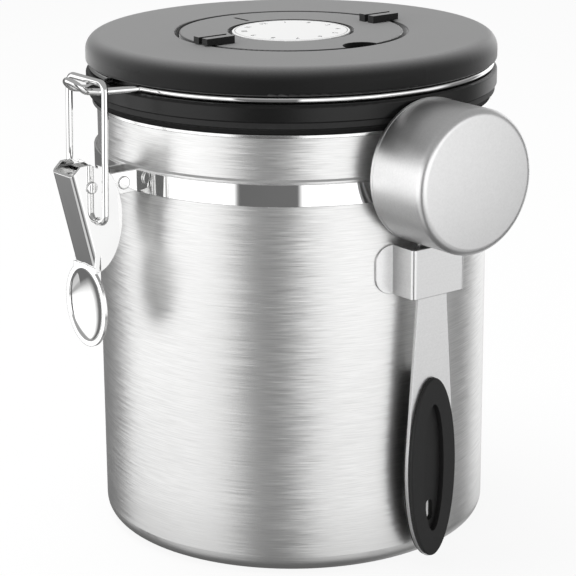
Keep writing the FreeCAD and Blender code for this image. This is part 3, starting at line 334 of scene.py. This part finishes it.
class Surface(Finish):
    """A Principled material that reads positions in the object's own metres."""

    def __init__(self, name):
        self.material = bpy.data.materials.new(name)
        self.material.use_nodes = True
        super().__init__(self.material.node_tree)
        principled = self.node("ShaderNodeBsdfPrincipled", out="BSDF")
        self.shader = principled.socket.node
        self.node("ShaderNodeOutputMaterial", None, {"Surface": principled})
        self.where = self.node("ShaderNodeTexCoord", out="Object")

    def set(self, **sockets):
        for name, value in sockets.items():
            self.feed(self.shader.inputs[name.replace("_", " ")], value)

    def noise(self, scale, detail=3.0, rough=0.55):
        """Noise with so many waves to the metre along x, y and z."""
        stretched = self.node("ShaderNodeMapping", None, {"Vector": self.where, "Scale": scale})
        return self.node(
            "ShaderNodeTexNoise", None,
            {"Vector": stretched, "Scale": 1.0, "Detail": detail, "Roughness": rough},
        )

    def blend(self, amount, first, second):
        """A mix of two colours, each a tuple or a signal."""
        sockets = {"Factor": amount}
        for name, colour in (("A", first), ("B", second)):
            sockets[name] = colour if isinstance(colour, Signal) else (*colour, 1)
        return self.node("ShaderNodeMix", {"data_type": "RGBA"}, sockets, "Result")

    def axis(self, name):
        return self.node("ShaderNodeSeparateXYZ", None, {"Vector": self.where}, name)

    def from_middle(self):
        """The distance from the can's upright axis."""
        return self.vectors("LENGTH", self.vectors("MULTIPLY", self.where, (1, 1, 0)), out="Value")

    def normal(self):
        return self.node("ShaderNodeNewGeometry", out="Normal")

    def combed(self, lean):
        """The normal, leaned sideways along an upright wall by a signal round zero."""
        normal = self.normal()
        along = self.vectors("CROSS_PRODUCT", (0, 0, 1), normal)
        tip = self.node("ShaderNodeVectorMath", {"operation": "SCALE"}, {0: along, "Scale": lean})
        return self.vectors("NORMALIZE", self.vectors("ADD", normal, tip))

    def eased(self, radius):
        """The normal, rounded over sharp edges as a tumbled or polished edge is."""
        return self.node("ShaderNodeBevel", {"samples": EDGE_SAMPLES}, {"Radius": radius})

    def relief(self, height, depth, strength, normal=None):
        sockets = {"Height": height, "Distance": depth, "Strength": strength}
        if normal:
            sockets["Normal"] = normal
        return self.node("ShaderNodeBump", None, sockets)


print("finishes start from positions in metres")

# %% [markdown]
# Three small helpers serve all the finishes. Steel, plastic and rubber here are greys, some a little
# warm, noise often needs more contrast than it comes with, and each finished material is announced.

# %% Greys, contrast and a note
def grey(level, warmth=0.0):
    """A grey, with a little less blue where it is warm."""
    return (level, level, level - warmth)


def contrast(signal, gain, middle=0.5):
    """A signal that swings further from its middle."""
    return (signal - middle) * gain + 0.5


def announce(material):
    print("finish:", material.name, "with", len(material.node_tree.nodes), "nodes")
    return material


print("a warm grey, for example:", grey(0.66, 0.005))

# %% [markdown]
# The wall of the can is stainless sheet, brushed round and round with an abrasive belt, which leaves
# short strokes a fifth of a millimetre apart. A bump map of such strokes would tip the surface only up
# and down. What the eye sees on a real can is that the edges of reflections look combed sideways, so we
# lean the normal itself along the wall by the stroke pattern. The rolled rim at the top is polished, a
# fine weld seam runs up the back, and towards the bottom bend the colour is painted darker, a painted
# shade near the floor.

# %% Brushed wall
RIM_DEPTH = 0.0013
RIM_ROUGHNESS = 0.20
WELD_HALF_WIDTH = 0.0005
WELD_DARKENING = 0.3
PAINTED_SHADE_BELOW = 0.022
PAINTED_SHADE_BY = 0.95
COMBED_BY = 0.38
STROKE_DEPTH = 0.00002
can_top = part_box("canister_body")[1][2]


def brushed_wall():
    steel = Surface("brushed_wall")
    strokes = steel.noise((110, 110, 5200), rough=0.6)
    long_strokes = steel.noise((34, 34, 2600), detail=2.0)
    clouds = steel.noise((14, 14, 9), detail=2.0)
    grain = strokes * 0.6 + long_strokes * 0.4
    streaks = contrast(strokes, gain=1.5, middle=0.44)
    rim = steel.axis("Z") > can_top - RIM_DEPTH
    weld = (abs(steel.axis("X")) < WELD_HALF_WIDTH) * (steel.axis("Y") > 0) * (1 - rim)
    # Painted shade: the base colour is darkened over the lowest part of the wall, down to the bend.
    painted_foot_shade = steel.node(
        "ShaderNodeMapRange", None, {"Value": steel.axis("Z"), "From Min": PAINTED_SHADE_BELOW, "From Max": 0.0}
    )
    brightness = streaks * (1 - weld * WELD_DARKENING) * (1 - painted_foot_shade * PAINTED_SHADE_BY)
    rough = 0.26 + grain * 0.14 + clouds * 0.05
    combed = steel.combed((grain - 0.5) * (COMBED_BY - COMBED_BY * rim))
    steel.set(
        Base_Color=steel.blend(brightness, grey(0.66, 0.005), grey(0.98, 0.005)),
        Roughness=rough - (rough - RIM_ROUGHNESS) * rim,
        Normal=steel.relief(grain, STROKE_DEPTH, strength=0.4, normal=combed),
        Metallic=1.0,
    )
    return steel.material


wall = announce(brushed_wall())

# %% [markdown]
# The band, the hinge and the clasp are thin sheet that was rolled bright, and the loops are polished
# wire. They are near mirrors, so what makes them look real is what spoils the mirror: a faint waviness
# from bending, fine scuffs, and the dull film that fingers leave. A Bevel node rounds their edges in the
# normal, because a cut edge that was tumbled catches a line of light.

# %% Bright sheet and wire
SHEET_EDGE = 0.0003
WIRE_EDGE = 0.0001


def bright_metal(name, wave, scuff, edge):
    metal = Surface(name)
    film = metal.noise((70, 70, 70))
    scuffs = metal.noise((900, 900, 120), rough=0.7)
    ripple = metal.noise((110, 110, 60), detail=1.0)
    metal.set(
        Base_Color=metal.blend(film, grey(0.88), grey(0.96, 0.005)),
        Roughness=0.02 + film * 0.03 + scuffs * scuff,
        Normal=metal.relief(ripple, wave, strength=0.6, normal=metal.eased(edge)),
        Metallic=1.0,
    )
    return metal.material


sheet = announce(bright_metal("bright_sheet", wave=0.00006, scuff=0.02, edge=SHEET_EDGE))
wire = announce(bright_metal("bright_wire", wave=0.00003, scuff=0.03, edge=WIRE_EDGE))

# %% [markdown]
# The scoop is finer than the can: pressed from sheet, then satin polished on a lathe. Its strokes run
# round the cup's own axis, which points out from the can, so here the noise is stretched the other way.
# A pressed base is never quite flat, so its normal leans a little outwards from the axis, which gives the
# soft shading of a crowned disc. Handle and holder have a belt finish with level strokes.

# %% Satin scoop metal
CUP_CROWN = 3.5
SATIN_DEPTH = 0.00004
cup_low, cup_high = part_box("scoop_cup")
cup_axis = (0, (cup_low[1] + cup_high[1]) / 2, (cup_low[2] + cup_high[2]) / 2)


def satin_metal(name, strokes_at, base_rough, dark, light, crown=0):
    steel = Surface(name)
    strokes = steel.noise(strokes_at, detail=4.0, rough=0.6)
    mottle = steel.noise((60, 60, 60), detail=2.0)
    fine = contrast(steel.noise((1500, 1500, 1500), rough=0.7), gain=1.8)
    normal = steel.eased(SHEET_EDGE)
    if crown:
        from_axis = steel.vectors("SUBTRACT", steel.where, cup_axis)
        swell = steel.vectors("MULTIPLY", from_axis, (0, crown, crown))
        normal = steel.vectors("NORMALIZE", steel.vectors("ADD", normal, swell))
    steel.set(
        Base_Color=steel.blend(strokes * 0.4 + mottle * 0.2 + fine * 0.4, dark, light),
        Roughness=base_rough + strokes * 0.12 + mottle * 0.05,
        Normal=steel.relief(strokes * 0.6 + fine * 0.4, SATIN_DEPTH, strength=0.5, normal=normal),
        Metallic=1.0,
    )
    return steel.material


satin_cup = announce(satin_metal("satin_cup", (2100, 40, 40), 0.26, grey(0.72), grey(0.93), CUP_CROWN))
satin_strip = announce(satin_metal("satin_strip", (30, 30, 2400), 0.22, grey(0.68), grey(0.90)))

# %% [markdown]
# The lid's two mouldings are plastic from a spark-eroded mould, which leaves an even fine grain. The
# grain scatters light, so the grey cap is matte from above and keeps a long soft sheen at a shallow
# angle. The upright part of the normal blends a lighter grey in, a painted top light on what looks up,
# but not in the seams. The black base under the cap is smoother.

# %% Moulded plastic
SEAM_DEPTH = 0.0003
RING_MARGIN = 0.006
UNDERSIDE = -0.01
BLACK = grey(0.004)
COAL = grey(0.010)
PAINTED_LIT_BLACK = grey(0.02)
PAINTED_LIT_GREY = grey(0.19)
lid_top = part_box("dial_disc")[1][2]
past_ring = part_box("date_ring")[1][0] + RING_MARGIN


def moulded_plastic(name, painted_top_grey, rough, grain_depth, gloss, sheen):
    plastic = Surface(name)
    grain = plastic.noise((1900, 1900, 1900), detail=2.0)
    flow = plastic.noise((24, 24, 60), detail=2.0)
    looks_up = plastic.node("ShaderNodeSeparateXYZ", None, {"Vector": plastic.normal()}, "Z") ** 3
    on_top = plastic.axis("Z") > lid_top - SEAM_DEPTH
    open_top = plastic.maths("MAXIMUM", on_top, plastic.from_middle() > past_ring)
    # Painted top light: a lighter grey on faces that look up, kept out of the seams.
    painted_top_light = plastic.maths("MAXIMUM", looks_up, 0) * open_top * (0.7 + 0.4 * grain + 0.2 * flow)
    bare = plastic.blend(grain * 0.6 + flow * 0.4, BLACK, COAL)
    plastic.set(
        Base_Color=plastic.blend(painted_top_light, bare, painted_top_grey),
        Roughness=rough + grain * 0.10 + flow * 0.06 + (looks_up < UNDERSIDE) * 0.4,
        Normal=plastic.relief(grain, grain_depth, strength=0.5),
        Specular_IOR_Level=gloss,
        Sheen_Weight=sheen,
        Sheen_Roughness=0.4,
    )
    return plastic.material


grey_lid = announce(
    moulded_plastic("grey_moulding", PAINTED_LIT_GREY, rough=0.42, grain_depth=0.00004, gloss=0.20, sheen=0.7)
)
black_lid = announce(
    moulded_plastic("black_moulding", PAINTED_LIT_BLACK, rough=0.26, grain_depth=0.00002, gloss=0.35, sheen=0.0)
)

# %% [markdown]
# The sealing ring is silicone: dull, a little dusty, with fine mould rings round it. It shows as a dark
# line under the lid, and the creases above and below its lip are painted darker still, a painted shade.

# %% Sealing ring
LIP_TOP = 0.0005
LIP_BOTTOM = 0.0021
MOULD_RING_DEPTH = 0.00004
ring_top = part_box("lid_gasket")[1][2]


def soft_ring():
    rubber = Surface("sealing_rubber")
    dust = rubber.noise((300, 300, 300), detail=4.0, rough=0.7)
    rings = rubber.noise((12, 12, 1500), detail=2.0)
    above_lip = rubber.axis("Z") > ring_top - LIP_TOP
    below_lip = rubber.axis("Z") < ring_top - LIP_BOTTOM
    # Painted shade: in the creases above and below the lip the colour goes to black and the surface
    # duller.
    painted_crease_shade = rubber.maths("MAXIMUM", above_lip, below_lip)
    rubber.set(
        Base_Color=rubber.blend(dust * (1 - painted_crease_shade), BLACK, grey(0.03)),
        Roughness=0.48 + dust * 0.2 + painted_crease_shade * 0.3,
        Normal=rubber.relief(rings + dust * 0.5, MOULD_RING_DEPTH, strength=0.5),
    )
    return rubber.material


seal = announce(soft_ring())

# %% [markdown]
# The valve's flap is a pale softer silicone that lets a little light into it, and the filter is pressed
# felt, a mat of short fibres that point every way. Both sit inside the valve, so they only show when it
# is taken apart, but a part for a library should be finished there too.

# %% Flap and filter
FLAP_DEPTH = 0.00003
FLAP_GLOW_REACH = 0.001
FIBRE_DEPTH = 0.00015
FELT_DARK = (0.55, 0.52, 0.46)
FELT_LIGHT = (0.86, 0.84, 0.79)


def pale_flap():
    silicone = Surface("pale_silicone")
    cloud = silicone.noise((160, 160, 160))
    silicone.set(
        Base_Color=silicone.blend(cloud, grey(0.50, 0.02), grey(0.66, 0.02)),
        Roughness=0.38 + cloud * 0.16,
        Normal=silicone.relief(cloud, FLAP_DEPTH, strength=0.4),
        Subsurface_Weight=0.15,
        Subsurface_Radius=(FLAP_GLOW_REACH,) * 3,
    )
    return silicone.material


def pressed_felt():
    wool = Surface("pressed_felt")
    fibres = wool.noise((1400, 500, 900), detail=4.0, rough=0.75)
    cross_fibres = wool.noise((500, 1500, 900), detail=4.0, rough=0.75)
    mat = wool.maths("MAXIMUM", fibres, cross_fibres)
    wool.set(
        Base_Color=wool.blend(mat, FELT_DARK, FELT_LIGHT),
        Roughness=0.75 + mat * 0.2,
        Normal=wool.relief(mat, FIBRE_DEPTH, strength=0.8),
        Sheen_Weight=0.25,
    )
    return wool.material


flap = announce(pale_flap())
felt = announce(pressed_felt())

# %% [markdown]
# The dial is a thin pale plate with a satin face, lightly turned so that rings show when the light
# comes low. A hair-thin printed line runs round it just inside its edge.

# %% Dial plate
LINE_INSET = 0.00085
LINE_HALF_WIDTH = 0.00012
LINE_GREY = grey(0.3)
TURNED_RINGS_TO_METRE = 2600.0
TURNED_DEPTH = 0.00001
dial_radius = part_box("dial_disc")[1][0]


def dial_face():
    plate = Surface("dial_face")
    radius = plate.from_middle()
    turned = plate.node(
        "ShaderNodeTexNoise", {"noise_dimensions": "1D"},
        {"W": radius, "Scale": TURNED_RINGS_TO_METRE, "Detail": 3.0},
    )
    line = abs(radius - (dial_radius - LINE_INSET)) < LINE_HALF_WIDTH
    pale = plate.blend(turned, grey(0.86, 0.005), grey(0.94, 0.005))
    plate.set(
        Base_Color=plate.blend(line, pale, LINE_GREY),
        Roughness=0.28 + turned * 0.14,
        Normal=plate.relief(turned, TURNED_DEPTH, strength=0.4),
    )
    return plate.material


dial = announce(dial_face())

# %% [markdown]
# The scoop's grip is a soft-touch moulding: nearly black, with no clear highlight, only a broad pale
# gleam where the surface turns away. A fine leathery grain keeps it from looking like a hole.

# %% Soft grip
LEATHER_DEPTH = 0.00005


def soft_grip():
    rubber = Surface("soft_grip")
    leather = rubber.noise((1300, 1300, 1300), rough=0.6)
    wear = rubber.noise((45, 45, 45), detail=2.0)
    rubber.set(
        Base_Color=rubber.blend(leather * 0.5 + wear * 0.5, COAL, grey(0.03)),
        Roughness=0.46 + leather * 0.12 + wear * 0.08,
        Normal=rubber.relief(leather, LEATHER_DEPTH, strength=0.5),
        Specular_IOR_Level=0.35,
    )
    return rubber.material


grip = announce(soft_grip())

# %% [markdown]
# Now each piece of the frame gets its finish. A piece keeps its own mesh and place, only the material in
# its slots changes, so the CAD model and the picture can't drift apart.

# %% Dress the frame
outfits = (
    (wall, ("canister_body",)),
    (sheet, ("neck_band", "band_rivet", "hinge_bracket", "hinge_rivets", "lever_pin", "clasp_lever")),
    (wire, ("clasp_link", "bail_wire")),
    (satin_cup, ("scoop_cup",)),
    (satin_strip, ("scoop_holder", "scoop_handle")),
    (grip, ("scoop_grip",)),
    (grey_lid, ("lid_cap", "date_ring")),
    (black_lid, ("lid_base", "valve_body", "valve_retainer", "filter_guard")),
    (seal, ("lid_gasket",)),
    (dial, ("dial_disc",)),
    (flap, ("valve_diaphragm",)),
    (felt, ("valve_filter",)),
)
for finish, pieces in outfits:
    for piece in pieces:
        for place in frame["nodes"][piece].material_slots:
            place.material = finish
    print(finish.name, "on", ", ".join(pieces))

# %% [markdown]
# The dial carries plain numbers, 1 to 12, so that a month can be set against the mark on the ring. Text
# in Blender is a curve with its own font outlines. We turn each number into a mesh first, then move and
# turn it to its place on the dial, and join all of them in one thin piece that lies on the plate. Twelve
# stands a quarter turn from the hinge.

# %% Dial numbers
MONTHS = 12
TWELVE_AT = 90
NUMBER_INSET = 0.0038
NUMBER_HEIGHT = 0.0026
PRINT_THICKNESS = 0.00004
OUTLINE_STEPS = 3
MERGE_WITHIN = 1e-6


def printed_number(target, text, angle):
    letters = bpy.data.curves.new("number", "FONT")
    letters.body = text
    letters.size = NUMBER_HEIGHT
    letters.align_x = "CENTER"
    letters.align_y = "CENTER"
    letters.extrude = PRINT_THICKNESS
    letters.resolution_u = OUTLINE_STEPS
    draft = bpy.data.objects.new("number", letters)
    bpy.context.scene.collection.objects.link(draft)
    mesh = bpy.data.meshes.new_from_object(draft)
    on_dial = Matrix.Translation((0, dial_radius - NUMBER_INSET, lid_top))
    mesh.transform(Matrix.Rotation(angle, 4, "Z") @ on_dial)
    target.from_mesh(mesh)
    bpy.data.objects.remove(draft)
    bpy.data.meshes.remove(mesh)


numbers = bmesh.new()
for month in range(1, MONTHS + 1):
    printed_number(numbers, str(month), math.radians(TWELVE_AT - 360 / MONTHS * month))
bmesh.ops.remove_doubles(numbers, verts=numbers.verts, dist=MERGE_WITHIN)
numbers_mesh = bpy.data.meshes.new("dial_numbers")
numbers.to_mesh(numbers_mesh)
numbers.free()
dial_numbers = bpy.data.objects.new("dial_numbers", numbers_mesh)
bpy.context.scene.collection.objects.link(dial_numbers)
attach(dial_numbers, "lid")
print("printed numbers:", len(numbers_mesh.polygons), "faces")

# %% [markdown]
# Print is never an even black. Ink sits thinner on the high spots of the plate, so a fine speckle varies
# its grey and its gloss.

# %% Ink
def speckled_ink():
    ink = Surface("print_ink")
    speckle = ink.noise((2500, 2500, 2500), detail=2.0)
    ink.set(
        Base_Color=ink.blend(speckle, grey(0.10), grey(0.22)),
        Roughness=0.4 + speckle * 0.2,
    )
    return ink.material


numbers_mesh.materials.append(announce(speckled_ink()))
